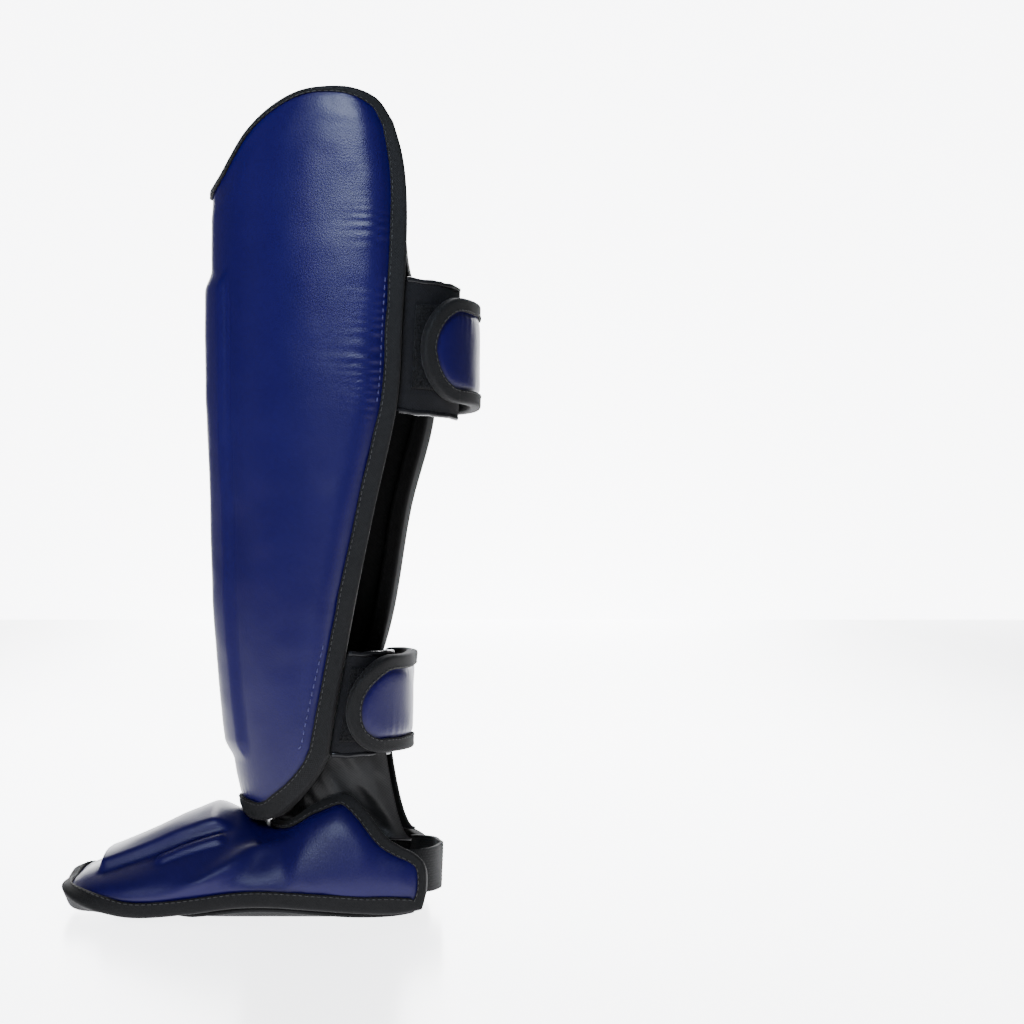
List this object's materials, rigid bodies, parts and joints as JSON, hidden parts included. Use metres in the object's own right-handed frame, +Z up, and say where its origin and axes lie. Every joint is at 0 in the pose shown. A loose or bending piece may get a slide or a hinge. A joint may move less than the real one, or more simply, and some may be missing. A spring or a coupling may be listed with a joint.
{
  "type": "shin and instep guard",
  "caption": "Padded shin and instep guard with a raised front ridge, bound edges, two rear wrap straps, an ankle sleeve and elastic heel and sole straps.",
  "frame": {"origin": "centre of the bounding box at the floor, under the sole strap", "axes": "+Z up the leg, -Y towards the toes, +X to the wearer's left side as the guard points away from the viewer's front"},
  "size_m": [0.1304, 0.2302, 0.4334],
  "materials": {
    "blue_leather": "semi-gloss synthetic leather over foam",
    "binding_tape": "fine woven polyester tape",
    "lining_cloth": "smooth knitted lining",
    "black_cloth": "matt woven cloth",
    "loop_pile": "fuzzy loop pile",
    "elastic_band": "ribbed elastic webbing"
  },
  "bodies": {
    "root": {"shin_shell": "blue_leather", "shin_lining": "lining_cloth", "shin_binding": "binding_tape", "upper_loop_panel": "black_cloth", "upper_loop_pile": "loop_pile", "upper_strap": "blue_leather", "upper_strap_binding": "binding_tape", "lower_loop_panel": "black_cloth", "lower_loop_pile": "loop_pile", "lower_strap": "blue_leather", "lower_strap_binding": "binding_tape", "ankle_sleeve": "black_cloth", "foot_shell": "blue_leather", "foot_lining": "lining_cloth", "foot_binding": "binding_tape", "heel_strap": "elastic_band", "sole_strap": "elastic_band"}
  },
  "joints": []
}
